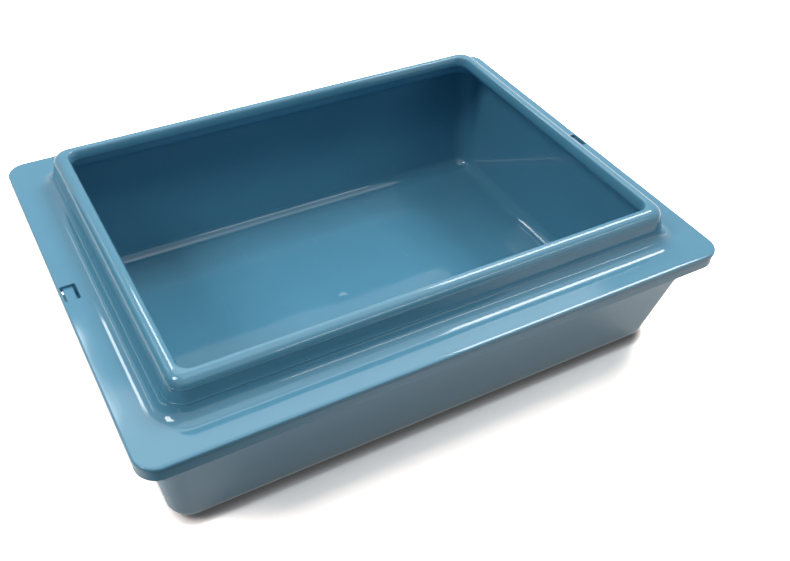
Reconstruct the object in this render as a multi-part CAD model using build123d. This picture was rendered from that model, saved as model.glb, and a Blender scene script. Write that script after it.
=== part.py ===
from build123d import *
from math import atan2, hypot, tan
import os

# Whole tray: plan size over the rim flange, and height to the top of the collar
tray_length = 445.0
tray_width = 340.0
tray_height = 130.0

# Rim flange, with a short skirt along its outer edge
rim_wall = 2.2
rim_corner_radius = 15.2
skirt_thickness = 1.6
skirt_drop = 0.9
flange_edge_radius = 1.5
skirt_edge_radius = 0.4

# Rim collar: it sweeps up from the flange, leans inwards and rolls over a narrow crest into the mouth
collar_rise = 26.5
collar_foot_inset = 27.74
collar_run = 5.63
collar_foot_corner_radius = 14.5
collar_top_corner_radius = 12.5
collar_junction_radius = 12.5
collar_shoulder_radius = 8.3
mouth_crest_width = 0.3
mouth_corner_radius = 7.5
mouth_roll_radius = 3.5
mouth_lip_depth = 8.0
mouth_lip_edge_radius = 0.7

# Base pan: sloping walls, a floor and a raised ring that it stands on
pan_clearance_under_rim = 0.15
pan_wall = 2.2
pan_floor_thickness = 2.2
pan_mouth_inset = 8.3
pan_end_foot_inset = 21.4
pan_side_foot_inset = 31.7
pan_mouth_corner_radius = 18.0
pan_foot_corner_radius = 16.0
pan_foot_edge_radius = 14.0
pan_mouth_edge_radius = 1.4
foot_ring_width = 12.0
foot_recess_depth = 0.8

# Pan flange, with a turned-down lip along its edge and a rebate over it for the rim's skirt
pan_flange_thickness = 2.0
pan_lip_inset = 0.4
pan_lip_corner_radius = 15.5
pan_lip_thickness = 1.8
pan_lip_depth = 9.25
pan_lip_edge_radius = 0.5
rebate_width = 1.9
rebate_depth = 1.35

# Windows in the rim flange, one in the middle of each short side
window_length = 16.5
window_outer_inset = 1.8
window_inner_inset = 12.2
window_corner_radius = 1.0

# Narrow slot through the pan flange under each window
slot_outer_inset = 2.2
slot_width = 1.3

# Snap hooks: drops are measured down and reaches outwards from the axis of the round root
hook_root_inset = 13.6
hook_root_radius = 0.8
hook_root_clearance = 0.1
hook_width = 15.0
hook_throat_reach = 2.0
hook_catch_drop = 4.4
hook_barb_reach = 3.6
hook_nose_drop = 5.0
hook_tip_reach = 1.55
hook_barb_end_drop = 7.0
hook_tip_drop = 7.6
hook_tip_thickness = 0.95
hook_hole_clearance = 0.3

# How far cutting solids run past the faces that they cut
overrun = 5.0

# Heights, half sizes and slopes that follow from the values above
flange_top = tray_height - collar_rise
flange_underside = flange_top - rim_wall
skirt_bottom = flange_underside - skirt_drop
collar_underside = tray_height - rim_wall
mouth_lip_bottom = tray_height - mouth_lip_depth
pan_top = flange_underside - pan_clearance_under_rim
pan_flange_underside = pan_top - pan_flange_thickness
pan_lip_bottom = pan_top - pan_lip_depth
rebate_floor = pan_top - rebate_depth
pan_floor_top = foot_recess_depth + pan_floor_thickness
half_length = tray_length / 2
half_width = tray_width / 2
collar_lean = collar_run / collar_rise
collar_shoulder_width = collar_shoulder_radius * tan(atan2(collar_rise, collar_run) / 2)
mouth_crest_inset = collar_foot_inset + collar_run + collar_shoulder_width
mouth_inset = mouth_crest_inset + mouth_crest_width + mouth_roll_radius
end_lean = (pan_end_foot_inset - pan_mouth_inset) / pan_top
side_lean = (pan_side_foot_inset - pan_mouth_inset) / pan_top
collar_corner_taper = (collar_foot_corner_radius - collar_top_corner_radius) / collar_rise
pan_corner_taper = (pan_mouth_corner_radius - pan_foot_corner_radius) / pan_top

# The two short sides of the tray and the direction in which each one faces
short_sides = {"left": -1, "right": 1}


def outline(inset_x, inset_y, radius, height):
    """Rounded rectangle of the plan, set in from the flange's edge, at a height."""
    shape = RectangleRounded(tray_length - 2 * inset_x, tray_width - 2 * inset_y, radius)
    return Plane.XY.offset(height) * shape


def prism(inset, radius, bottom, top):
    """Upright block over one outline, between two heights."""
    return extrude(outline(inset, inset, radius, bottom), amount=top - bottom)


def collar_block(bottom, top, wall):
    """Block inside the collar's sloping faces, drawn in by a wall measured square to the faces."""
    sections = []
    for height in (bottom, top):
        rise = height - flange_top
        inset = collar_foot_inset + collar_lean * rise + wall * hypot(1, collar_lean)
        radius = collar_foot_corner_radius - collar_corner_taper * rise - wall
        sections.append(outline(inset, inset, radius, height))
    return loft(sections, ruled=True)


def pan_block(bottom, top, wall):
    """Block inside the pan's sloping walls, drawn in by a wall measured square to the walls."""
    sections = []
    for height in (bottom, top):
        inset_x = pan_end_foot_inset - end_lean * height + wall * hypot(1, end_lean)
        inset_y = pan_side_foot_inset - side_lean * height + wall * hypot(1, side_lean)
        radius = pan_foot_corner_radius + pan_corner_taper * height - wall
        sections.append(outline(inset_x, inset_y, radius, height))
    return loft(sections, ruled=True)


def edge_inset(edge):
    """Least distance in plan from the flange's outer edge to an edge of a solid."""
    box = edge.bounding_box()
    reach_x = max(abs(box.min.X), abs(box.max.X))
    reach_y = max(abs(box.min.Y), abs(box.max.Y))
    return min(half_length - reach_x, half_width - reach_y)


def level_ring(solid, height, nearest, furthest):
    """Level edges at one height whose inset from the flange's edge lies between two values."""
    level = solid.edges().filter_by_position(Axis.Z, height, height)
    return [edge for edge in level if nearest < edge_inset(edge) < furthest]


def on_short_side(side, inset, height):
    """Point in the middle of a short side, at an inset from the flange's edge and a height."""
    return (side * (half_length - inset), 0, height)


def cutter(side, outer_inset, inner_inset, length, bottom, top):
    """Box across a short side, between two insets and two heights."""
    place = on_short_side(side, (outer_inset + inner_inset) / 2, (bottom + top) / 2)
    return Pos(*place) * Box(inner_inset - outer_inset, length, top - bottom)


def root_cylinder(side, radius, length):
    """Cylinder along the axis on which a snap hook bends."""
    centre = on_short_side(side, hook_root_inset, flange_underside)
    return Pos(*centre) * Rot(90, 0, 0) * Cylinder(radius, length)


def make_rim():
    """Flange with a skirt, and a hollow collar whose top rolls down into the mouth."""
    flange = prism(0, rim_corner_radius, skirt_bottom, flange_top)
    flange = fillet(flange.edges().group_by(Axis.Z)[-1], flange_edge_radius)
    flange = fillet(flange.edges().group_by(Axis.Z)[0], skirt_edge_radius)
    collar = collar_block(flange_top, tray_height, 0)
    collar = fillet(collar.edges().group_by(Axis.Z)[-1], collar_shoulder_radius)
    rim = flange + collar
    foot = level_ring(rim, flange_top, collar_junction_radius, mouth_inset)
    rim = fillet(foot, collar_junction_radius)

    # Room under the flange, inside the skirt
    skirt_radius = rim_corner_radius - skirt_thickness
    rim -= prism(skirt_thickness, skirt_radius, skirt_bottom, flange_underside)

    # Room under the collar, which leaves the lip that hangs down around the mouth
    hollow = collar_block(flange_underside, collar_underside, rim_wall)
    hollow = fillet(hollow.edges().group_by(Axis.Z)[-1], collar_shoulder_radius - rim_wall)
    lip_inset = mouth_inset - rim_wall
    hollow -= prism(lip_inset, mouth_corner_radius + rim_wall, mouth_lip_bottom, collar_underside)
    roll_edges = level_ring(hollow, collar_underside, lip_inset - rim_wall / 2, mouth_inset)
    hollow = fillet(roll_edges, mouth_roll_radius - rim_wall)
    rim -= hollow
    underside = level_ring(rim, flange_underside, collar_junction_radius, mouth_inset)
    rim = fillet(underside, collar_junction_radius + rim_wall)

    # Mouth, with its rolled top edge and the rounded bottom edge of its lip
    rim -= prism(mouth_inset, mouth_corner_radius, mouth_lip_bottom, tray_height)
    mouth_edges = level_ring(rim, tray_height, mouth_inset - rim_wall / 2, half_width)
    rim = fillet(mouth_edges, mouth_roll_radius)
    lip_edges = level_ring(rim, mouth_lip_bottom, mouth_inset - rim_wall / 2, half_width)
    rim = fillet(lip_edges, mouth_lip_edge_radius)

    # Windows, and the grooves that hold the roots of the hooks
    window_width = window_inner_inset - window_outer_inset
    window_shape = RectangleRounded(window_width, window_length, window_corner_radius)
    for side in short_sides.values():
        middle = (window_outer_inset + window_inner_inset) / 2
        window = extrude(window_shape, amount=rim_wall + overrun)
        rim -= Pos(*on_short_side(side, middle, flange_underside)) * window
        groove_radius = hook_root_radius + hook_root_clearance
        rim -= root_cylinder(side, groove_radius, hook_width + 2 * hook_root_clearance)
    return rim


def make_base_pan():
    """Pan with sloping walls, a flange, a turned-down lip and the openings for the hooks."""
    lip_radius = pan_lip_corner_radius - pan_lip_thickness
    rebate_radius = pan_lip_corner_radius - rebate_width
    lip_inner_inset = pan_lip_inset + pan_lip_thickness
    flange = prism(pan_lip_inset, pan_lip_corner_radius, pan_lip_bottom, rebate_floor)
    flange = fillet(flange.edges().filter_by(Plane.XY), pan_lip_edge_radius)
    flange += prism(pan_lip_inset + rebate_width, rebate_radius, rebate_floor, pan_top)
    flange -= prism(lip_inner_inset, lip_radius, pan_lip_bottom, pan_flange_underside)
    outside = pan_block(0, pan_top, 0)
    outside = fillet(outside.edges().group_by(Axis.Z)[0], pan_foot_edge_radius)
    inside = pan_block(pan_floor_top, pan_top + overrun, pan_wall)
    inside = fillet(inside.edges().group_by(Axis.Z)[0], pan_foot_edge_radius - pan_wall)
    pan = flange + outside - inside
    mouth = level_ring(pan, pan_top, pan_mouth_inset, mouth_inset)
    pan = fillet(mouth, pan_mouth_edge_radius)

    # Recess under the floor, which leaves a flat ring for the tray to stand on
    ring_inset = pan_foot_edge_radius + foot_ring_width
    recess_x = pan_end_foot_inset + ring_inset
    recess_y = pan_side_foot_inset + ring_inset
    recess = outline(recess_x, recess_y, pan_foot_corner_radius, 0)
    pan -= extrude(recess, amount=foot_recess_depth)

    # Slot under each window, and the hole in the wall that each hook snaps into
    slot_inner_inset = slot_outer_inset + slot_width
    hole_top = flange_underside - hook_catch_drop + hook_hole_clearance
    hole_bottom = flange_underside - hook_barb_end_drop - hook_hole_clearance
    hole_length = hook_width + 2 * hook_hole_clearance
    for side in short_sides.values():
        pan -= cutter(side, slot_outer_inset, slot_inner_inset, window_length,
                      pan_flange_underside, pan_top)
        pan -= cutter(side, slot_inner_inset, hook_root_inset, hole_length, hole_bottom, hole_top)
    return pan


def make_snap_hook(side):
    """Flat springy stem with a round root and a wedge-shaped barb that points outwards."""
    profile = [
        (0, 0),
        (hook_root_radius, 0),
        (hook_throat_reach, -hook_catch_drop),
        (hook_barb_reach, -hook_catch_drop),
        (hook_barb_reach, -hook_nose_drop),
        (hook_tip_reach, -hook_barb_end_drop),
        (hook_tip_reach, -hook_tip_drop),
        (hook_tip_reach - hook_tip_thickness, -hook_tip_drop),
        (-hook_root_radius, 0),
    ]
    face = make_face(Polyline(*profile, close=True))
    stem = extrude(Plane.XZ * face, amount=hook_width / 2, both=True)
    if side < 0:
        stem = mirror(stem, about=Plane.YZ)
    stem = Pos(*on_short_side(side, hook_root_inset, flange_underside)) * stem
    return stem + root_cylinder(side, hook_root_radius, hook_width)


# Each piece goes to a file of its own, named after the piece
pieces = {"base_pan": make_base_pan(), "rim": make_rim()}
for side_name, side in short_sides.items():
    pieces["snap_hook_" + side_name] = make_snap_hook(side)

os.makedirs("parts", exist_ok=True)
for name, piece in pieces.items():
    export_step(piece, "parts/" + name + ".step")
    print(name, round(piece.volume), "mm3,", "valid" if piece.is_valid else "not valid")
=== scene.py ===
# %% [markdown]
# A litter tray made of two thin mouldings. The base pan has sloping walls and a turned-down lip, and the
# rim clips onto it and leans inwards, so that litter stays inside when an animal digs. Both are moulded
# polypropylene, so what the eye reads is a soft gloss, small radii on every edge and a little waviness.
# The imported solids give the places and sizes. The two mouldings are drawn again here as smooth surfaces,
# because every highlight on a glossy moulding follows the true direction of its surface.

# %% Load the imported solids
import bpy
import math
import numpy as np
from mathutils import Matrix, Vector


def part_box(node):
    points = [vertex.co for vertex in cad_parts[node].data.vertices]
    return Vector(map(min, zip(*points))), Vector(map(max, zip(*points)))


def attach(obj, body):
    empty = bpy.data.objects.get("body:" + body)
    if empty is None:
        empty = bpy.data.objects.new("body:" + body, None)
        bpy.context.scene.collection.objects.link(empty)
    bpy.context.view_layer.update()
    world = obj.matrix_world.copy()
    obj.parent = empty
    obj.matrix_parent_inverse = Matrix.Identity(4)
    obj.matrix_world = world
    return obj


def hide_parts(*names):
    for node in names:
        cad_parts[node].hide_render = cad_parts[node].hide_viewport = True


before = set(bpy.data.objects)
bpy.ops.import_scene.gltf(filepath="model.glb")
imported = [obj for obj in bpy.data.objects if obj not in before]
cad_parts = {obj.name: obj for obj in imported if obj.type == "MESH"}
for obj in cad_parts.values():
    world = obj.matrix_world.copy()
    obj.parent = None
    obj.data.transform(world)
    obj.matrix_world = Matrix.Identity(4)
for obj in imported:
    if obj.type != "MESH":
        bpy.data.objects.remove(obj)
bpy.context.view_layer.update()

# %% [markdown]
# Every length starts from the boxes of the solids. The flange's outline is the largest rounded rectangle,
# so each other outline is written as an inset from it, and each level as a height above the floor.

# %% Read the main sizes
mm = 0.001
rim_low, rim_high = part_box("rim")
half_length = rim_high.x
half_width = rim_high.y
collar_top = rim_high.z
skirt_bottom = rim_low.z
pan_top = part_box("base_pan")[1].z
wall = 2.2 * mm
seat_gap = 0.15 * mm
flange_underside = pan_top + seat_gap
flange_top = flange_underside + wall
print("half size", half_length, half_width, "flange", flange_top, "collar", collar_top)

# %% [markdown]
# Both mouldings are profiles carried round a rounded rectangle. A point of the path is a mix of the half
# size and the corner radius, with the same mixing factors on every level, so one table of factors serves
# all the outlines and the whole surface comes from two outer products.

# %% Stations round a rounded rectangle
corner_steps = 20
side_steps = 24
quarter_signs = np.array([[1, 1], [-1, 1], [-1, -1], [1, -1]], float)


def stations():
    """Mixing factors of the path, anticlockwise from the right side.

    In a corner, x = half size * sign + radius * (cos(turn) - sign), and y is the same with the sine.
    On a side, the factors run straight from the end of one corner to the start of the next.
    """
    size_rows, radius_rows, normal_rows = [], [], []
    for corner in range(4):
        turn = np.radians(90 * corner + np.linspace(0, 90, corner_steps + 1))
        circle = np.stack([np.cos(turn), np.sin(turn)], 1)
        here, after = quarter_signs[corner], quarter_signs[(corner + 1) % 4]
        share = (np.arange(1, side_steps) / side_steps)[:, None]
        size_rows += [np.tile(here, (len(turn), 1)), (1 - share) * here + share * after]
        radius_rows += [circle - here, (1 - share) * (circle[-1] - here) + share * (circle[-1] - after)]
        normal_rows += [circle, np.tile(circle[-1], (side_steps - 1, 1))]
    return np.concatenate(size_rows), np.concatenate(radius_rows), np.concatenate(normal_rows)


path_size, path_radius, path_normal = stations()
print("stations on the path:", len(path_size))

# %% [markdown]
# A profile is a chain of stretches. A row of a stretch says how far the outline is set in on the short
# sides and on the long sides, its height, its corner radius, and which way the surface faces there. Two
# stretches share the outline where they meet but keep their own facing, so a sharp edge stays sharp and a
# rounded one has the exact direction of the flat beside it.

# %% Rows of a profile
place_columns = slice(0, 4)
same_place = 1e-9


def corner_row(inset, height, radius, inset_y=None):
    """One turning point of a profile: inset on the short and on the long sides, height, corner radius."""
    return np.array([[inset, inset if inset_y is None else inset_y, height, radius]], float)


def line(start, end):
    """Straight stretch between two rows. It faces a quarter turn clockwise from the way it runs."""
    rows = np.array([start, end], float)
    rise = rows[1, 2] - rows[0, 2]
    facing = []
    for column in (0, 1):
        run = rows[1, column] - rows[0, column]
        length = math.hypot(rise, run)
        facing += [rise / length, run / length]
    return np.hstack([rows, np.tile(facing, (2, 1))])


def arc(centre, radius, start, end, corners, side=1, steps=10):
    """Circular stretch about (inset, height). Angles are in degrees from outwards towards up.

    A point is the centre plus the radius along the angle. A bulging surface faces along the angle
    (side 1), a hollow one against it (side -1). The corner radius runs evenly with the inset.
    """
    angle = np.radians(np.linspace(start, end, steps + 1))
    inset = centre[0] - radius * np.cos(angle)
    height = centre[1] + radius * np.sin(angle)
    share = (inset - inset[0]) / (inset[-1] - inset[0])
    corner = corners[0] + (corners[1] - corners[0]) * share
    facing = [side * np.cos(angle), side * np.sin(angle)]
    return np.stack([inset, inset, height, corner] + facing + facing, 1)


def chain(parts, closed):
    """Stretches of a whole profile: the arcs, and straight lines over every gap between the parts.

    A part with one row is a turning point, so it only ends the lines on both sides of it.
    """
    whole = []
    pairs = list(zip(parts, parts[1:] + parts[:1]))
    for part, after in pairs if closed else pairs[:-1]:
        if len(part) > 1:
            whole.append(part)
        start, end = part[-1][place_columns], after[0][place_columns]
        if np.abs(end[:3] - start[:3]).max() > same_place:
            whole.append(line(start, end))
    if not closed and len(parts[-1]) > 1:
        whole.append(parts[-1])
    return whole

# %% [markdown]
# A shell could start as a box with a Bevel and a Solidify modifier. Carrying a profile round a path gives
# every bend its own radius instead, and every point its exact facing. The surface is one grid: rows of the
# profile one way, stations of the path the other way. The facing of each face corner is kept with the
# mesh, because cutting the openings comes before shading.

# %% Carry a profile round the path
def made_mesh(name, points, faces, corners):
    """Mesh of the points and faces, which keeps the facing of every face corner as an attribute."""
    mesh = bpy.data.meshes.new(name)
    mesh.from_pydata(points.tolist(), [], faces)
    facing = mesh.attributes.new("facing", "FLOAT_VECTOR", "CORNER")
    facing.data.foreach_set("vector", corners.astype(np.float32).reshape(-1))
    return mesh


def shell_surface(name, stretches, closed):
    """Mesh of a profile carried round the path, with the facing of every face corner.

    Point = half size at the inset * size factor + corner radius * radius factor, at the row's height.
    Its facing turns with the path: level part * path normal, and the upright part as it is.
    """
    rows = np.concatenate(stretches)
    lengths = np.array([len(stretch) for stretch in stretches])
    ends = np.cumsum(lengths) - 1
    ring_of_row = np.arange(len(rows)) - np.repeat(np.arange(len(lengths)), lengths)
    first = np.setdiff1d(np.arange(len(rows)), ends)
    outline = rows[first] if closed else rows[np.append(first, len(rows) - 1)]
    size = np.array([half_length, half_width]) - outline[:, :2]
    level_points = size[:, None] * path_size + outline[:, None, 3:4] * path_radius
    height = np.broadcast_to(outline[:, None, 2:3], level_points.shape[:2] + (1,))
    points = np.concatenate([level_points, height], 2).reshape(-1, 3)

    count = len(path_size)
    across = np.arange(count)
    beside = (across + 1) % count
    low = ring_of_row[first][:, None] % len(outline) * count
    high = ring_of_row[first + 1][:, None] % len(outline) * count
    quads = np.stack([low + across, low + beside, high + beside, high + across], 2).reshape(-1, 4)

    share = path_normal ** 2
    level = rows[:, 4:5] * share[:, 0] + rows[:, 6:7] * share[:, 1]
    upright = rows[:, 5:6] * share[:, 0] + rows[:, 7:8] * share[:, 1]
    facing = np.concatenate([level[..., None] * path_normal, upright[..., None]], 2)
    facing /= np.linalg.norm(facing, axis=2, keepdims=True)
    under, over = facing[first], facing[first + 1]
    corners = np.stack([under, under[:, beside], over[:, beside], over], 2).reshape(-1, 3)

    faces = quads.tolist()
    if not closed:
        last = (len(outline) - 1) * count
        faces += [across[::-1].tolist(), (last + across).tolist()]
        corners = np.concatenate([corners, facing[0][::-1], facing[-1]])
    return made_mesh(name, points, faces, corners)

# %% [markdown]
# Openings are cut as a toolmaker would cut them, with a solid of the opening's shape. The facings travel
# through the cut as an attribute of the face corners, so the walls keep their exact shading and a rounded
# edge of the cutter leaves a rounded edge behind. A cutter's faces are turned over by the cut, so a facing
# that points into the wall is turned round.

# %% Cut openings and shade the result
block_corner_points = 7


def block_surface(name, centre, half_size, radius, levels, flares):
    """Upright cutting block: a rounded rectangle on each level, wider than the base by that level's flare.

    Point = centre + sign * (half size - radius) + (radius + flare) * circle. A side faces outwards, less
    the slope of the flare.
    """
    quarter = np.linspace(0, 90, block_corner_points)
    turn = np.radians(np.arange(0, 360, 90)[:, None] + quarter).reshape(-1)
    circle = np.stack([np.cos(turn), np.sin(turn)], 1)
    signs = np.repeat(quarter_signs, block_corner_points, 0)
    base = np.array(centre) + signs * (np.array(half_size) - radius)
    level_points = base + (radius + np.array(flares))[:, None, None] * circle
    height = np.broadcast_to(np.array(levels)[:, None, None], level_points.shape[:2] + (1,))
    points = np.concatenate([level_points, height], 2).reshape(-1, 3)
    count = len(circle)
    across = np.arange(count)
    beside = (across + 1) % count
    low = np.arange(len(levels) - 1)[:, None] * count
    quads = np.stack([low + across, low + beside, low + count + beside, low + count + across], 2)
    faces = quads.reshape(-1, 4).tolist()
    faces += [across[::-1].tolist(), ((len(levels) - 1) * count + across).tolist()]
    widen, rise = np.gradient(np.array(flares)), np.gradient(np.array(levels))
    lean = np.hypot(widen, rise)
    level_part = (rise / lean)[:, None, None] * circle
    upright = np.broadcast_to((-widen / lean)[:, None, None], level_part.shape[:2] + (1,))
    facing = np.concatenate([level_part, upright], 2)
    under, over = facing[:-1], facing[1:]
    corners = np.stack([under, under[:, beside], over[:, beside], over], 2).reshape(-1, 3)
    caps = np.repeat([[0, 0, -1.0], [0, 0, 1.0]], count, 0)
    return made_mesh(name, points, faces, np.concatenate([corners, caps]))


def link(name, mesh):
    """Puts a mesh in the scene as an object at the origin."""
    piece = bpy.data.objects.new(name, mesh)
    bpy.context.scene.collection.objects.link(piece)
    return piece


def face_of_corner(mesh):
    """Normal of the face that each face corner belongs to."""
    normals = np.empty(len(mesh.polygons) * 3)
    mesh.polygons.foreach_get("normal", normals)
    sizes = np.empty(len(mesh.polygons), int)
    mesh.polygons.foreach_get("loop_total", sizes)
    return np.repeat(normals.reshape(-1, 3), sizes, 0)


def cut_and_shade(name, mesh, cutters):
    """Cuts the openings out of a surface and shades what is left by its facings."""
    piece = link(name, mesh)
    tools = [link(f"cutter_{index}", cutter) for index, cutter in enumerate(cutters)]
    for tool in tools:
        cut = piece.modifiers.new("opening", "BOOLEAN")
        cut.operation = "DIFFERENCE"
        cut.solver = "EXACT"
        cut.object = tool
    graph = bpy.context.evaluated_depsgraph_get()
    result = bpy.data.meshes.new_from_object(piece.evaluated_get(graph))
    piece.modifiers.clear()
    for tool in tools:
        bpy.data.objects.remove(tool)
    facing = np.empty(len(result.loops) * 3)
    result.attributes["facing"].data.foreach_get("vector", facing)
    facing = facing.reshape(-1, 3)
    face = face_of_corner(result)
    turned = np.sign((facing * face).sum(1, keepdims=True))
    facing = np.where(turned == 0, face, facing * turned)
    result.attributes.remove(result.attributes["facing"])
    result.shade_smooth()
    result.normals_split_custom_set(facing.tolist())
    result.name = name
    piece.data = result
    print(name, "faces:", len(result.polygons), "corners:", len(facing))
    return piece

# %% [markdown]
# The rim is one closed profile: skirt, flange, hollow bend, sloping collar, rounded shoulder, narrow
# crest, the roll into the mouth, the lip that hangs down, and the same shape again underneath, one wall
# further in. The arcs of both sides share their centres, so the wall is even all the way round. A
# bend's pair of corner radii belongs to its outer and its inner end.

# %% Flange and collar of the rim
collar_rise = 26.5 * mm
collar_run = 5.63 * mm
collar_foot_inset = 27.74 * mm
slope_angle = math.atan2(collar_rise, collar_run)
facing_angle = 90 - math.degrees(slope_angle)
skirt_thickness = 1.6 * mm
skirt_edge = 0.4 * mm
flange_edge = 1.5 * mm
flange_corner = 15.2 * mm
bend = 12.5 * mm
bend_centre = (collar_foot_inset - bend * math.tan(slope_angle / 2), flange_top + bend)
bend_corners = (24.6 * mm, 13.75 * mm)
shoulder = 8.3 * mm
crest_inset = collar_foot_inset + collar_run + shoulder * math.tan(slope_angle / 2)
shoulder_centre = (crest_inset, collar_top - shoulder)
shoulder_corners = (13.0 * mm, 5.8 * mm)
print("collar faces", round(facing_angle, 1), "degrees up")

# %% [markdown]
# A thin flange droops a little along its long edges, where nothing stiffens it, and the lamps show that as
# a bright line. So the long edges have a wide arc over the small one that breaks the edge, and the short
# edges have the small one alone.

# %% Drooping edges of the flange
droop = 8 * mm
droop_angle = 75
droop_turn = math.radians(droop_angle)
droop_start = flange_edge * (1 - math.cos(droop_turn))
droop_run = droop * math.cos(droop_turn)
droop_height = flange_top - droop * (1 - math.sin(droop_turn))


def even_on_short_sides(rows):
    """The same rows with a plain rounding on the short sides, where the flange doesn't droop.

    At each height, up = 1 - drop / radius, inset = radius * (1 - sqrt(1 - up^2)), and it faces (level, up).
    """
    up = np.clip(1 - (flange_top - rows[:, 2]) / flange_edge, 0, 1)
    level = np.sqrt(1 - up ** 2)
    return np.column_stack([flange_edge * (1 - level), rows[:, 1:4], level, up, rows[:, 6:]])


print("droop:", round((flange_top - droop_height) / mm, 2), "mm over", round(droop_run / mm, 2), "mm")

# %% [markdown]
# The roll into the mouth is drawn with two arcs, a tight one off the crest and a wider one that runs out
# into the lip, which is how a rolled edge looks when the plastic has shrunk inwards. The second radius
# follows from the first, because both ends of the roll are fixed.

# %% Roll and lip of the mouth
roll = 3.5 * mm
crest_width = 0.3 * mm
roll_centre = (crest_inset + crest_width, collar_top - roll)
mouth_inset = roll_centre[0] + roll
roll_start = 2.2 * mm
roll_angle = 150
roll_turn = math.radians(roll_angle)
roll_end = (roll + roll_start * math.cos(roll_turn)) / (1 + math.cos(roll_turn))
roll_joint = (roll_centre[0] - roll_start * math.cos(roll_turn),
              collar_top - roll_start * (1 - math.sin(roll_turn)))
roll_end_centre = (mouth_inset - roll_end, roll_joint[1] - roll_end * math.sin(roll_turn))
mouth_corner = 7.5 * mm
roll_corner = mouth_corner + mouth_inset - roll_joint[0]
lip_depth = 8 * mm
lip_bottom = collar_top - lip_depth
lip_edge = 0.7 * mm
print("roll radii:", round(roll_start / mm, 2), "and", round(roll_end / mm, 2), "mm")

# %% [markdown]
# Where two parts of the mould meet, they leave a thin raised line. The collar has one near its foot and
# one near its shoulder, too low to feel and still bright under a lamp. A bump in the material could draw
# them, but lines in the mesh are still there when the mesh is used without its material.

# %% Witness lines of the mould
witness_width = 0.5 * mm
witness_height = 0.12 * mm
witness_shares = (0.02, 0.98)


def on_slope(share):
    """Inset, height and corner radius on the collar's outer face, from its foot (0) to its shoulder (1)."""
    foot_turn = math.radians(facing_angle - 180)
    head_turn = math.radians(facing_angle)
    foot = (bend_centre[0] - bend * math.cos(foot_turn), bend_centre[1] + bend * math.sin(foot_turn),
            bend_corners[1])
    head = (shoulder_centre[0] - shoulder * math.cos(head_turn),
            shoulder_centre[1] + shoulder * math.sin(head_turn), shoulder_corners[0])
    return [(1 - share) * start + share * end for start, end in zip(foot, head)]


def witness(share):
    """Low rounded line round the collar.

    It is the top of a circle whose chord is the line's width: radius = width^2 / (8 * height) + height / 2.
    """
    inset, height, corner = on_slope(share)
    radius = witness_width ** 2 / (8 * witness_height) + witness_height / 2
    half = math.degrees(math.asin(witness_width / 2 / radius))
    sunk = radius - witness_height
    turn = math.radians(facing_angle)
    centre = (inset + sunk * math.cos(turn), height - sunk * math.sin(turn))
    return arc(centre, radius, facing_angle - half, facing_angle + half, (corner, corner), steps=4)


print("witness lines:", len(witness_shares))

# %% [markdown]
# With the arcs known, the profile is a list of them in their order along the section. The straight walls
# between them need no entry, because each one runs from the end of an arc to the start of the next.

# %% Profile of the rim
def rim_profile():
    """Stretches of the rim, from the skirt's bottom edge over the collar and back underneath."""
    skirt_inside = flange_corner - skirt_thickness
    lip_inside = mouth_corner + wall
    droop_corner = flange_corner - droop_start
    small_centre = (flange_edge, droop_height - flange_edge * math.sin(droop_turn))
    wide_centre = (droop_start + droop_run, flange_top - droop)
    return chain([
        arc((skirt_edge, skirt_bottom + skirt_edge), skirt_edge, -90, 0,
            (flange_corner - skirt_edge, flange_corner), steps=4),
        even_on_short_sides(arc(small_centre, flange_edge, 0, droop_angle, (flange_corner, droop_corner))),
        even_on_short_sides(arc(wide_centre, droop, droop_angle, 90,
                                (droop_corner, droop_corner - droop_run), steps=6)),
        arc(bend_centre, bend, -90, facing_angle - 180, bend_corners, -1, 12),
        *[witness(share) for share in witness_shares],
        arc(shoulder_centre, shoulder, facing_angle, 90, shoulder_corners, steps=16),
        arc((roll_centre[0], collar_top - roll_start), roll_start, 90, roll_angle,
            (mouth_corner + roll, roll_corner)),
        arc(roll_end_centre, roll_end, roll_angle, 180, (roll_corner, mouth_corner)),
        arc((mouth_inset - lip_edge, lip_bottom + lip_edge), lip_edge, 180, 270,
            (mouth_corner, mouth_corner + lip_edge), steps=5),
        corner_row(mouth_inset - wall, lip_bottom, lip_inside),
        arc(roll_centre, roll - wall, 180, 90, (lip_inside, mouth_corner + roll), -1, 6),
        arc(shoulder_centre, shoulder - wall, 90, facing_angle,
            (shoulder_corners[1], shoulder_corners[0] - wall), -1),
        arc(bend_centre, bend + wall, facing_angle - 180, -90, (bend_corners[1] - wall, bend_corners[0])),
        corner_row(skirt_thickness, flange_underside, skirt_inside),
        arc((skirt_thickness - skirt_edge, skirt_bottom + skirt_edge), skirt_edge, 180, 270,
            (skirt_inside, skirt_inside + skirt_edge), steps=4),
    ], closed=True)


rim_stretches = rim_profile()
print("rim profile rows:", sum(len(stretch) for stretch in rim_stretches))

# %% [markdown]
# The windows over the snap hooks go through the flange in the middle of the short sides. Their upper
# edges are rounded a little, as a mould's core leaves them, and that rounding catches a thin line of light.

# %% Make the rim
window_insets = (1.8 * mm, 12.2 * mm)
window_half_length = 8.25 * mm
window_corner = 1.0 * mm
window_edge = 0.8 * mm
window_edge_turn = 75
window_edge_points = 5
cut_overrun = 1.0 * mm


def flared(edge_height, edge, low):
    """Levels and flares of a cutter that leaves a rounded upper edge, then runs on clear of the surface."""
    turn = np.radians(np.linspace(0, window_edge_turn, window_edge_points))
    levels = [low] + list(edge_height - edge + edge * np.sin(turn))
    flares = [0] + list(edge * (1 - np.cos(turn)))
    levels.append(levels[-1] + edge * math.cos(turn[-1]))
    flares.append(flares[-1] + edge * math.sin(turn[-1]))
    return levels, flares


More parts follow.
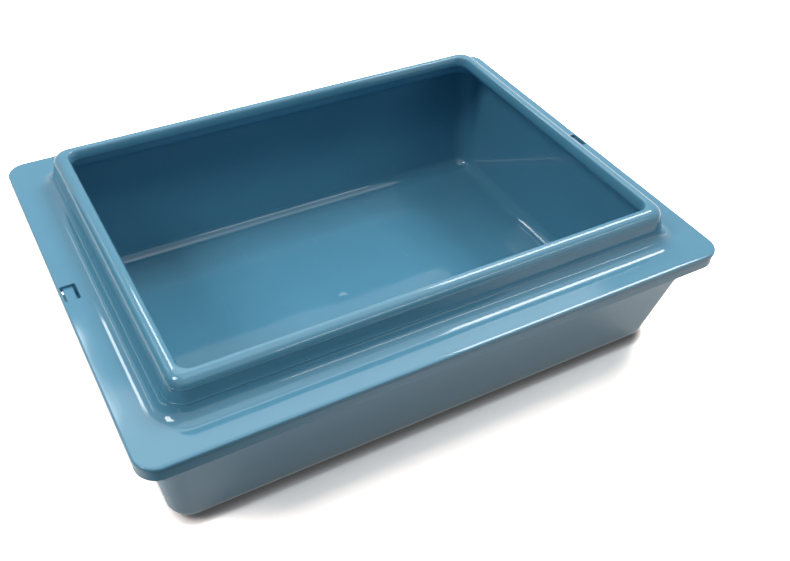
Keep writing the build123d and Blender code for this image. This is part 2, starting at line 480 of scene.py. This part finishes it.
def end_block(name, side, insets, along, corner, levels, flares):
    """Cutting block in a short side, between two insets from the flange's outline and between two y."""
    middle = ((half_length - sum(insets) / 2) * side, sum(along) / 2)
    half_size = ((insets[1] - insets[0]) / 2, (along[1] - along[0]) / 2)
    return block_surface(name, middle, half_size, corner, levels, flares)


window_along = (-window_half_length, window_half_length)
window_levels = flared(flange_top, window_edge, flange_underside - cut_overrun)
windows = [end_block("window", side, window_insets, window_along, window_corner, *window_levels)
           for side in (-1, 1)]
rim_shell = cut_and_shade("rim_shell", shell_surface("rim_shell", rim_stretches, closed=True), windows)

# %% [markdown]
# The pan's walls lean more on the long sides than on the short ones, so its roundings are worked out for
# both at once: one angle steps round the bend, and each side stops turning when it meets its own wall.

# %% Leaning walls and their roundings
pan_corner_foot = 16 * mm
pan_corner_mouth = 18 * mm
pan_foot_insets = np.array([21.4, 31.7]) * mm
pan_mouth_inset = 8.3 * mm
leans = (pan_foot_insets - pan_mouth_inset) / pan_top


def wall_insets(height, depth):
    """Insets of the pan's wall on short and long sides, at heights, a depth inwards from its outer face."""
    return pan_foot_insets - leans * np.asarray(height)[..., None] + depth * np.hypot(1, leans)


def wall_corner(height, depth):
    """Corner radius of the pan's wall at heights, a depth inwards from its outer face."""
    return pan_corner_foot + (pan_corner_mouth - pan_corner_foot) * height / pan_top - depth


def wall_place(height, depth):
    """One turning point on the pan's wall."""
    insets = wall_insets(height, depth)
    return corner_row(insets[0], height, wall_corner(height, depth), insets[1])


def pan_bend(plane, radius, depth, rising, inwards, side, steps):
    """Rounding between a level plane and a leaning wall, from the plane to the wall.

    Height = centre - rising * radius * cos(angle), inset = centre - inwards * radius * sin(angle). Each
    side stops turning after a right angle less its lean, and runs on along its wall.
    """
    middle = plane + rising * radius
    centre = wall_insets(middle, depth) + inwards * radius * np.hypot(1, leans)
    limit = np.pi / 2 - np.arctan(leans)
    angle = np.linspace(0, limit.max(), steps + 1)[:, None]
    turned = np.minimum(angle, limit)
    height = middle - rising * radius * np.cos(angle[:, 0])
    walls = wall_insets(height, depth)
    insets = np.where(angle > limit, walls, centre - inwards * radius * np.sin(turned))
    corner = wall_corner(height, depth) - (insets - walls).mean(1)
    out, up = side * np.sin(turned), -side * np.cos(turned)
    columns = [insets[:, 0], insets[:, 1], height, corner, out[:, 0], up[:, 0], out[:, 1], up[:, 1]]
    return np.stack(columns, 1)


print("walls lean", np.degrees(np.arctan(leans)).round(1), "degrees")

# %% [markdown]
# The pan's profile starts under the floor, in the shallow recess inside the foot ring, and goes round the
# foot, up the wall, out under the flange, down and up the lip, over the rebate that the rim's skirt hangs
# into, and down the inner wall to the floor.

# %% Profile of the pan
foot_radius = 14 * mm
foot_ring_width = 12 * mm
recess_depth = 0.8 * mm
recess_corner = 16 * mm
floor_top = recess_depth + wall
pan_flange = 2.0 * mm
pan_lip_inset = 0.4 * mm
pan_lip_thickness = 1.8 * mm
pan_lip_corner = 15.5 * mm
pan_lip_edge = 0.5 * mm
pan_lip_depth = 9.25 * mm
pan_lip_bottom = pan_top - pan_lip_depth
rebate_width = 1.9 * mm
rebate_depth = 1.35 * mm
pan_mouth_edge = 1.4 * mm


def pan_profile():
    """Stretches of the pan, from the recess under the floor to the floor inside."""
    recess = pan_foot_insets + foot_radius + foot_ring_width
    under = pan_top - pan_flange
    lip_inside = pan_lip_inset + pan_lip_thickness
    inside_corner = pan_lip_corner - pan_lip_thickness
    rebate = pan_lip_inset + rebate_width
    rebate_corner = pan_lip_corner - rebate_width
    return chain([
        corner_row(recess[0], recess_depth, recess_corner, recess[1]),
        corner_row(recess[0], 0, recess_corner, recess[1]),
        pan_bend(0, foot_radius, 0, 1, 1, 1, 16),
        wall_place(under, 0),
        corner_row(lip_inside, under, inside_corner),
        arc((lip_inside - pan_lip_edge, pan_lip_bottom + pan_lip_edge), pan_lip_edge, 180, 270,
            (inside_corner, inside_corner + pan_lip_edge), steps=4),
        arc((pan_lip_inset + pan_lip_edge, pan_lip_bottom + pan_lip_edge), pan_lip_edge, -90, 0,
            (pan_lip_corner - pan_lip_edge, pan_lip_corner), steps=4),
        corner_row(pan_lip_inset, pan_top - rebate_depth, pan_lip_corner),
        corner_row(rebate, pan_top - rebate_depth, rebate_corner),
        corner_row(rebate, pan_top, rebate_corner),
        pan_bend(pan_top, pan_mouth_edge, wall, -1, -1, -1, 6),
        pan_bend(floor_top, foot_radius - wall, wall, 1, 1, -1, 16)[::-1],
    ], closed=False)


pan_stretches = pan_profile()
print("pan profile rows:", sum(len(stretch) for stretch in pan_stretches))

# %% [markdown]
# A groove in the flange lies under the outer edge of each window. Its back part goes right through, so a
# spot of light shows there. A hole in each end wall takes the snap hook. The floor shows the round,
# slightly sunken mark that the runner leaves where the plastic enters the mould: a dish whose depth falls
# off with the square of the distance from its middle.

# %% Make the pan
groove_insets = (2.2 * mm, 3.5 * mm)
groove_corner = 0.3 * mm
groove_depth = 1.7 * mm
slot_insets = (2.3 * mm, 3.4 * mm)
slot_along = (4.2 * mm, 8.1 * mm)
hook_hole_insets = (7.2 * mm, 13.2 * mm)
hook_hole_along = (-7.8 * mm, 7.8 * mm)
hook_hole_levels = [94.0 * mm, 97.2 * mm]
gate_place = (-0.4 * mm, 11.6 * mm)
gate_radius = 4.5 * mm
gate_roundness = 0.97
gate_depth = 0.35 * mm
gate_shares = np.linspace(0.2, 1.2, 7)
gate_levels = floor_top - gate_depth * (1 - gate_shares ** 2)
gate_flares = gate_radius * (gate_shares - 1)
no_flare = [0, 0]

pan_cutters = [block_surface("gate", gate_place, (gate_radius, gate_radius), gate_roundness * gate_radius,
                             gate_levels, gate_flares)]
groove_levels = [pan_top - groove_depth, pan_top + cut_overrun]
slot_levels = [pan_top - pan_flange - cut_overrun, pan_top]
for side in (-1, 1):
    pan_cutters += [
        end_block("groove", side, groove_insets, window_along, groove_corner, groove_levels, no_flare),
        end_block("slot", side, slot_insets, slot_along, groove_corner, slot_levels, no_flare),
        end_block("hook_hole", side, hook_hole_insets, hook_hole_along, groove_corner, hook_hole_levels,
                  no_flare)]
pan_shell = cut_and_shade("pan_shell", shell_surface("pan_shell", pan_stretches, closed=False), pan_cutters)

# %% [markdown]
# A material is a tree of nodes. One small function adds a node, sets its values and links its inputs, so
# that a material reads as a list. Colours are written in hex, as a colour picker gives them, and nodes want
# them in linear light. A Mix node for colours takes its share at input 0, and its colours at 6 and 7.

# %% Node helpers
def linear(code):
    """sRGB hex colour to linear light: a share s becomes ((s + 0.055) / 1.055) ** 2.4, or s / 12.92."""
    parts = [int(code[place:place + 2], 16) / 255 for place in (1, 3, 5)]
    return [(part / 12.92 if part <= 0.04045 else ((part + 0.055) / 1.055) ** 2.4) for part in parts] + [1]


def add(tree, kind, settings=None, links=None):
    """Adds a node. Settings go to its properties or, by name or number, to its inputs. Links feed inputs."""
    node = tree.nodes.new(kind)
    for key, value in (settings or {}).items():
        if isinstance(key, str) and hasattr(node, key):
            setattr(node, key, value)
        else:
            node.inputs[key].default_value = value
    for key, source in (links or {}).items():
        tree.links.new(source, node.inputs[key])
    return node


def new_material(name):
    """Empty node material."""
    material = bpy.data.materials.new(name)
    material.use_nodes = True
    material.node_tree.nodes.clear()
    return material, material.node_tree


def per_metre(size):
    """Noise scale at which one blotch is about a size across, in metres."""
    return 1 / size


print("a middle grey in linear light:", [round(part, 3) for part in linear("#808080")])

# %% [markdown]
# Polypropylene is moulded in colour, so one material serves every piece. It is semi-gloss: the flat parts
# carry the fine texture of the mould, the highlights are soft, and long low waves show where the plastic
# shrank. Waves and texture are bumps, because neither changes the outline. The real texture is too fine to
# show here, so its grain is drawn coarser, at 0.8 mm. Handling leaves small scuffs that are lighter and
# duller than the rest.

# %% Moulded polypropylene
tint_size = 35 * mm
scuff_size = 5 * mm
scuff_stretch = 0.12
scuff_turn = math.radians(62)
scuff_strength = 0.08
scuff_roughness = 0.15
wave_size = 60 * mm
wave_height = 1.0 * mm
grain_size = 0.8 * mm
grain_height = 0.01 * mm


def moulded_polypropylene():
    """Polypropylene: IOR 1.49, soft gloss, colour in the plastic, mould texture, waves and small scuffs."""
    material, tree = new_material("moulded_polypropylene")
    place = add(tree, "ShaderNodeTexCoord").outputs["Object"]
    blotch = add(tree, "ShaderNodeTexNoise", {"Scale": per_metre(tint_size), "Detail": 3.0},
                 {"Vector": place})
    tint = add(tree, "ShaderNodeMix", {"data_type": "RGBA", 6: linear("#538EA9"), 7: linear("#5792AD")},
               {0: blotch.outputs["Fac"]})
    scuff_map = add(tree, "ShaderNodeMapping",
                    {"Scale": (1, scuff_stretch, 1), "Rotation": (0, 0, scuff_turn)}, {"Vector": place})
    scuff = add(tree, "ShaderNodeTexNoise", {"Scale": per_metre(scuff_size), "Detail": 2.0},
                {"Vector": scuff_map.outputs[0]})
    scuffed = add(tree, "ShaderNodeMapRange", {"From Min": 0.70, "From Max": 0.78},
                  {0: scuff.outputs["Fac"]})
    faint = add(tree, "ShaderNodeMath", {"operation": "MULTIPLY", 1: scuff_strength},
                {0: scuffed.outputs[0]})
    colour = add(tree, "ShaderNodeMix", {"data_type": "RGBA", 7: linear("#86B4C6")},
                 {0: faint.outputs[0], 6: tint.outputs[2]})
    gloss = add(tree, "ShaderNodeMapRange",
                {"From Min": 0.3, "From Max": 0.7, "To Min": 0.05, "To Max": 0.08},
                {0: blotch.outputs["Fac"]})
    rough = add(tree, "ShaderNodeMath", {"operation": "MULTIPLY_ADD", 1: scuff_roughness},
                {0: scuffed.outputs[0], 2: gloss.outputs[0]})
    wave = add(tree, "ShaderNodeTexNoise", {"Scale": per_metre(wave_size), "Detail": 1.0}, {"Vector": place})
    grain = add(tree, "ShaderNodeTexNoise", {"Scale": per_metre(grain_size), "Detail": 1.0},
                {"Vector": place})
    waved = add(tree, "ShaderNodeBump", {"Strength": 0.5, "Distance": wave_height},
                {"Height": wave.outputs["Fac"]})
    grained = add(tree, "ShaderNodeBump", {"Strength": 0.15, "Distance": grain_height},
                  {"Height": grain.outputs["Fac"], "Normal": waved.outputs[0]})
    shader = add(tree, "ShaderNodeBsdfPrincipled",
                 {"IOR": 1.49, "Subsurface Weight": 0.06, "Subsurface Scale": 1.5 * mm},
                 {"Base Color": colour.outputs[2], "Roughness": rough.outputs[0],
                  "Normal": grained.outputs[0]})
    add(tree, "ShaderNodeOutputMaterial", links={"Surface": shader.outputs[0]})
    return material


polypropylene = moulded_polypropylene()
print("material:", polypropylene.name)

# %% [markdown]
# The rim's surface stands for the rim and the pan's for the pan, each on its own body, so the rim lifts
# off the pan. The snap hooks keep their solids, whose flat faces are already right, and only get the
# plastic.

# %% Put the pieces on their bodies
pieces = {"rim": (rim_shell, "rim_polypropylene"), "base_pan": (pan_shell, "pan_polypropylene")}
for name, (piece, slot) in pieces.items():
    piece.data.materials.append(polypropylene)
    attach(piece, name)
    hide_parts(name)
for name in ("snap_hook_left", "snap_hook_right"):
    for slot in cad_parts[name].material_slots:
        slot.material = polypropylene
print("plastic on", len(pieces), "shells and the hooks")

# %% [markdown]
# The tray stands on a matt white card. A photographer exposes such a card until it is white, so the
# camera's rays see it about three times as bright as it is, and only the shadow beside the tray stays grey.
# Close under the tray's foot, on the side away from the light, a thin dark line of painted shade darkens the
# card's colour for the camera, as deep as the tray blocks the nearby directions there. The camera also sees
# a faint glow added to the card. Far from the tray the card turns into plain white. Mirrored rays see the
# card with a painted glow, a little brighter than its own light makes it, and all other rays see a light
# grey card, which keeps its bounce off the walls low.

# %% White card under the tray
card_half = 3.0
card_drop = 0.3 * mm
fibre_size = 2 * mm
camera_gain = (2.98, 2.7, 2.53)
# Painted glow on the card: a faint one for the camera, a stronger one for mirrored rays.
camera_glow = 0.05
mirror_glow = 0.32
# Reach and strength of the painted contact shade on the card, and which way its test directions lean.
painted_shade_reach = 9 * mm
painted_shade_power = 3.0
away_from_light = (-0.70, 0.50, 0.51)
white_from = 1.1
white_to = 1.6


def shown_ray(tree):
    """1 for a ray that shows the background: straight from the camera, mirrored or let through."""
    path = add(tree, "ShaderNodeLightPath")
    straight = add(tree, "ShaderNodeMath", {"operation": "MAXIMUM"},
                   {0: path.outputs["Is Camera Ray"], 1: path.outputs["Is Transmission Ray"]})
    return add(tree, "ShaderNodeMath", {"operation": "MAXIMUM"},
               {0: straight.outputs[0], 1: path.outputs["Is Glossy Ray"]})


def camera_look(tree, place):
    """The card as the camera sees it.

    Colour = gain * openness ^ power, a painted contact shade, where openness is the unblocked share of the
    directions within reach that lean away from the light. From one distance to another it turns into plain
    white.
    """
    # Painted shade: the card's colour for the camera darkens with the share of nearby directions that the
    # tray blocks.
    leaning = add(tree, "ShaderNodeCombineXYZ", dict(enumerate(away_from_light)))
    painted_shade_occlusion = add(tree, "ShaderNodeAmbientOcclusion", {"samples": 8, "Distance": painted_shade_reach},
                  {"Normal": leaning.outputs[0]})
    painted_contact_shade = add(tree, "ShaderNodeMath", {"operation": "POWER", 1: painted_shade_power},
                  {0: painted_shade_occlusion.outputs["AO"]})
    exposure = add(tree, "ShaderNodeVectorMath", {"operation": "SCALE", 0: camera_gain},
                   {"Scale": painted_contact_shade.outputs[0]})
    exposed = add(tree, "ShaderNodeBsdfDiffuse", links={"Color": exposure.outputs[0]})
    glow = add(tree, "ShaderNodeEmission", {"Strength": camera_glow})
    near = add(tree, "ShaderNodeAddShader", links={0: exposed.outputs[0], 1: glow.outputs[0]})
    away = add(tree, "ShaderNodeVectorMath", {"operation": "LENGTH"}, {0: place})
    far = add(tree, "ShaderNodeMapRange", {"From Min": white_from, "From Max": white_to},
              {0: away.outputs["Value"]})
    far_white = add(tree, "ShaderNodeEmission", {"Strength": 1.0})
    return add(tree, "ShaderNodeMixShader",
               links={0: far.outputs[0], 1: near.outputs[0], 2: far_white.outputs[0]})


def white_card():
    """Matt white card, with one look for the camera, one for mirrored rays and one for all others."""
    material, tree = new_material("matt_white_card")
    path = add(tree, "ShaderNodeLightPath")
    place = add(tree, "ShaderNodeTexCoord").outputs["Object"]
    fibre = add(tree, "ShaderNodeTexNoise", {"Scale": per_metre(fibre_size), "Detail": 2.0},
                {"Vector": place})
    tint = add(tree, "ShaderNodeMix", {"data_type": "RGBA", 6: linear("#F6F1EC"), 7: linear("#F8F4F0")},
               {0: fibre.outputs["Fac"]})
    white = add(tree, "ShaderNodeBsdfDiffuse", links={"Color": tint.outputs[2]})
    glow = add(tree, "ShaderNodeEmission", {"Strength": mirror_glow})
    bright = add(tree, "ShaderNodeAddShader", links={0: white.outputs[0], 1: glow.outputs[0]})
    straight = camera_look(tree, place)
    shown = add(tree, "ShaderNodeMixShader",
                links={0: path.outputs["Is Camera Ray"], 1: bright.outputs[0], 2: straight.outputs[0]})
    plain = add(tree, "ShaderNodeBsdfDiffuse", {"Color": linear("#A8A8AA")})
    whole = add(tree, "ShaderNodeMixShader",
                links={0: shown_ray(tree).outputs[0], 1: plain.outputs[0], 2: shown.outputs[0]})
    add(tree, "ShaderNodeOutputMaterial", links={"Surface": whole.outputs[0]})
    return material


def stage_sheet(name, corners, material):
    """Flat sheet of the set with four corners, which is no part of the object."""
    mesh = bpy.data.meshes.new(name)
    mesh.from_pydata(corners, [], [(0, 1, 2, 3)])
    mesh.materials.append(material)
    sheet = link(name, mesh)
    print(name, "from", corners[0], "to", corners[2])
    return sheet


card_signs = quarter_signs[[2, 3, 0, 1]]
stage_sheet("card", [(x, y, -card_drop) for x, y in card_signs * card_half], white_card())

# %% [markdown]
# A glossy moulding also shows what is dark in the room. Studios stand black flags round a shiny object for
# that. Two upright cloths darken what the collar's faces mirror. A third dark sheet lies in front of the
# tray and is seen only in reflections, as a painted dark reflection on the front wall. The camera sees none
# of them, and the sheet on the floor casts no shadow and lights nothing, so the card under it stays white.
# It thins out towards the right and towards the tray, because the dark tone on the front wall fades there.

# %% Dark cloths, and a sheet that paints a dark reflection
pile_size = 5 * mm
# Lift, extent and fading of the sheet that paints a dark reflection on the front wall.
reflection_sheet_lift = 0.5 * mm
reflection_sheet_across = (-1.2, 0.27)
reflection_sheet_front = -1.3
right_from = 0.08
right_to = 0.26
edge_slant = 0.3
edge_from = -0.33
edge_to = -0.24


def grey_felt():
    """Dark grey felt, which sends back less than a tenth of the light."""
    material, tree = new_material("dark_grey_felt")
    place = add(tree, "ShaderNodeTexCoord").outputs["Object"]
    pile = add(tree, "ShaderNodeTexNoise", {"Scale": per_metre(pile_size), "Detail": 2.0}, {"Vector": place})
    tint = add(tree, "ShaderNodeMix", {"data_type": "RGBA", 6: linear("#4A4A4C"), 7: linear("#565658")},
               {0: pile.outputs["Fac"]})
    felt = add(tree, "ShaderNodeBsdfDiffuse", links={"Color": tint.outputs[2]})
    add(tree, "ShaderNodeOutputMaterial", links={"Surface": felt.outputs[0]})
    return material


def painted_reflection_felt():
    """Dark felt for a painted dark reflection, which thins out to nothing, by x and by y + slant * x,
    whichever is further on.

    Both go from full cloth to none in a smooth step.
    """
    material, tree = new_material("painted_reflection_grey_felt")
    place = add(tree, "ShaderNodeSeparateXYZ", links={0: add(tree, "ShaderNodeTexCoord").outputs["Object"]})
    right = add(tree, "ShaderNodeMapRange",
                {"interpolation_type": "SMOOTHSTEP", "From Min": right_from, "From Max": right_to},
                {0: place.outputs["X"]})
    aslant = add(tree, "ShaderNodeMath", {"operation": "MULTIPLY_ADD", 1: edge_slant},
                 {0: place.outputs["X"], 2: place.outputs["Y"]})
    near = add(tree, "ShaderNodeMapRange",
               {"interpolation_type": "SMOOTHSTEP", "From Min": edge_from, "From Max": edge_to},
               {0: aslant.outputs[0]})
    thinned = add(tree, "ShaderNodeMath", {"operation": "MAXIMUM"},
                  {0: right.outputs[0], 1: near.outputs[0]})
    felt = add(tree, "ShaderNodeBsdfDiffuse", {"Color": linear("#505052")})
    clear = add(tree, "ShaderNodeBsdfTransparent")
    whole = add(tree, "ShaderNodeMixShader",
                links={0: thinned.outputs[0], 1: felt.outputs[0], 2: clear.outputs[0]})
    add(tree, "ShaderNodeOutputMaterial", links={"Surface": whole.outputs[0]})
    return material


def standing(start, end, height):
    """Corners of an upright sheet between two places on the floor."""
    return [(*start, 0), (*end, 0), (*end, height), (*start, height)]


felt = grey_felt()
front_flag = stage_sheet("front_flag", standing((1.2, -2.2), (-2.0, -2.2), 1.0), felt)
left_flag = stage_sheet("left_flag", standing((-2.2, -1.8), (-2.2, 2.9), 1.3), felt)
reflection_sheet_plan = [(x, reflection_sheet_front) for x in reflection_sheet_across]
reflection_sheet_plan += [(x, edge_to - edge_slant * x) for x in reversed(reflection_sheet_across)]
painted_reflection_sheet = stage_sheet("painted_reflection_sheet", [(x, y, reflection_sheet_lift) for x, y in reflection_sheet_plan], painted_reflection_felt())
# Only mirrored rays see this sheet: it casts no shadow and lights nothing, so it is a painted dark
# reflection.
painted_reflection_sheet.visible_shadow = False
painted_reflection_sheet.visible_diffuse = False
for cloth in (front_flag, left_flag, painted_reflection_sheet):
    cloth.visible_camera = False

# %% [markdown]
# A glossy moulding is drawn by what it mirrors, so area lamps stand in for the panels and boxes of a
# studio, each where a bend or a flat needs it. Three panels overhead give the flats their sheen. A box
# behind the tray draws the white line down the near part of the left bend, one on the right the line along
# the front bend, and one on the left the bright spot in the near corner. Two narrow strips draw the fine
# lines, and a dim screen in front lifts the walls a little.

# %% Lamps
flange_middle = (0, 0, 0.1)


def lamp(name, place, turn, size, radiance):
    """Rectangular lamp at a place. The Z axis of its turn points away from what it lights.

    Its power gives the radiance: power = 4 * area * radiance.
    """
    light = bpy.data.lights.new(name, "AREA")
    light.shape = "RECTANGLE"
    light.size, light.size_y = size
    light.energy = 4 * size[0] * size[1] * radiance
    holder = bpy.data.objects.new(name, light)
    holder.matrix_world = Matrix.Translation(place) @ turn.to_4x4()
    holder.visible_camera = False
    bpy.context.scene.collection.objects.link(holder)
    print(name, "radiance", radiance, "power", round(light.energy, 1), "W")


def screen(name, place, aim, size, radiance):
    """Lamp that faces an aim. Its first side is level."""
    turn = (Vector(place) - Vector(aim)).to_track_quat("Z", "Y").to_matrix()
    lamp(name, place, turn, size, radiance)


def overhead(name, across, along, height, radiance):
    """Level lamp over a rectangle of the plan, facing down."""
    place = (sum(across) / 2, sum(along) / 2, height)
    screen(name, place, (place[0], place[1], 0), (across[1] - across[0], along[1] - along[0]), radiance)


def strip(name, start, end, width, radiance):
    """Long narrow lamp between two places, facing the tray."""
    run = Vector(end) - Vector(start)
    middle = (Vector(start) + Vector(end)) / 2
    along = run.normalized()
    away = (middle - Vector(flange_middle)).normalized()
    away = (away - along * away.dot(along)).normalized()
    turn = Matrix((along, away.cross(along), away)).transposed()
    lamp(name, middle, turn, (run.length, width), radiance)


overhead("wide_panel", (-0.74, 1.70), (0.48, 1.60), 1.9, 1.5)
overhead("right_panel", (0.40, 1.7), (-0.8, 0.48), 1.9, 0.85)
overhead("right_box", (1.00, 2.05), (0.13, 0.78), 2.2, 10.5)
overhead("back_left_box", (-0.47, -0.06), (1.22, 1.60), 1.6, 8.5)
overhead("left_box", (-1.84, -1.0), (-0.36, 0.17), 1.6, 11.5)
overhead("top_panel", (-0.6, 0.45), (-0.85, 0.25), 1.9, 1.1)
screen("front_screen", (0.3, -2.6, 1.0), flange_middle, (5.0, 2.2), 0.10)
strip("left_strip", (-1.39, 1.3, 1.5), (-1.39, 2.5, 1.5), 0.12, 3.5)
strip("front_strip", (0.43, -1.85, 1.3), (1.5, -1.35, 1.3), 0.14, 5.0)

# %% [markdown]
# The room itself is dim in front of the tray and on its left, and brighter behind it on the right. A ray
# that shows the background sees plain white there.

# %% Room
bright_side = (0.6, 0.7, 0.35)
dim_at = -0.4
dim_light = 0.03
bright_light = 0.28


def studio_room():
    """World light by direction: a smooth step of the direction's share along the bright side."""
    world = bpy.data.worlds.new("studio_room")
    world.use_nodes = True
    tree = world.node_tree
    tree.nodes.clear()
    direction = add(tree, "ShaderNodeTexCoord").outputs["Generated"]
    towards = add(tree, "ShaderNodeVectorMath", {"operation": "DOT_PRODUCT", 1: bright_side},
                  {0: direction})
    level = add(tree, "ShaderNodeMapRange",
                {"interpolation_type": "SMOOTHSTEP", "From Min": dim_at, "From Max": 1.0,
                 "To Min": dim_light, "To Max": bright_light}, {0: towards.outputs["Value"]})
    strength = add(tree, "ShaderNodeMix", {"data_type": "FLOAT", 3: 1.0},
                   {0: shown_ray(tree).outputs[0], 2: level.outputs[0]})
    room = add(tree, "ShaderNodeBackground", {"Color": (1, 1, 1, 1)}, {"Strength": strength.outputs[0]})
    add(tree, "ShaderNodeOutputWorld", links={"Surface": room.outputs[0]})
    bpy.context.scene.world = world
    print("room light from", dim_light, "to", bright_light)


studio_room()

# %% [markdown]
# The camera stands where the photograph was taken from: close, above the near left corner, turned to the
# right and tilted down. Its place and angles come from a fit of the tray's known sizes to its outline in
# the picture, and so do its small roll and the shift of the picture's middle.

# %% Camera
camera_place = (-269.6 * mm, -509.7 * mm, 534.3 * mm)
camera_yaw = math.radians(30.45)
camera_pitch = math.radians(41.18)
camera_roll = math.radians(2.40)
picture_width = 790
focal_pixels = 934.7
centre_shift_pixels = 12.7
sensor_width = 36.0

camera = bpy.data.cameras.new("camera")
camera.sensor_width = sensor_width
camera.lens = focal_pixels / picture_width * sensor_width
camera.shift_x = centre_shift_pixels / picture_width
camera.clip_start = 10 * mm
camera_holder = bpy.data.objects.new("camera", camera)
turned = (Matrix.Rotation(-camera_yaw, 4, "Z") @ Matrix.Rotation(math.pi / 2 - camera_pitch, 4, "X")
          @ Matrix.Rotation(camera_roll, 4, "Z"))
camera_holder.matrix_world = Matrix.Translation(camera_place) @ turned
bpy.context.scene.collection.objects.link(camera_holder)
bpy.context.scene.camera = camera_holder
bpy.context.scene.view_settings.view_transform = "Standard"
print("lens", round(camera.lens, 2), "mm, shift", round(camera.shift_x, 4))
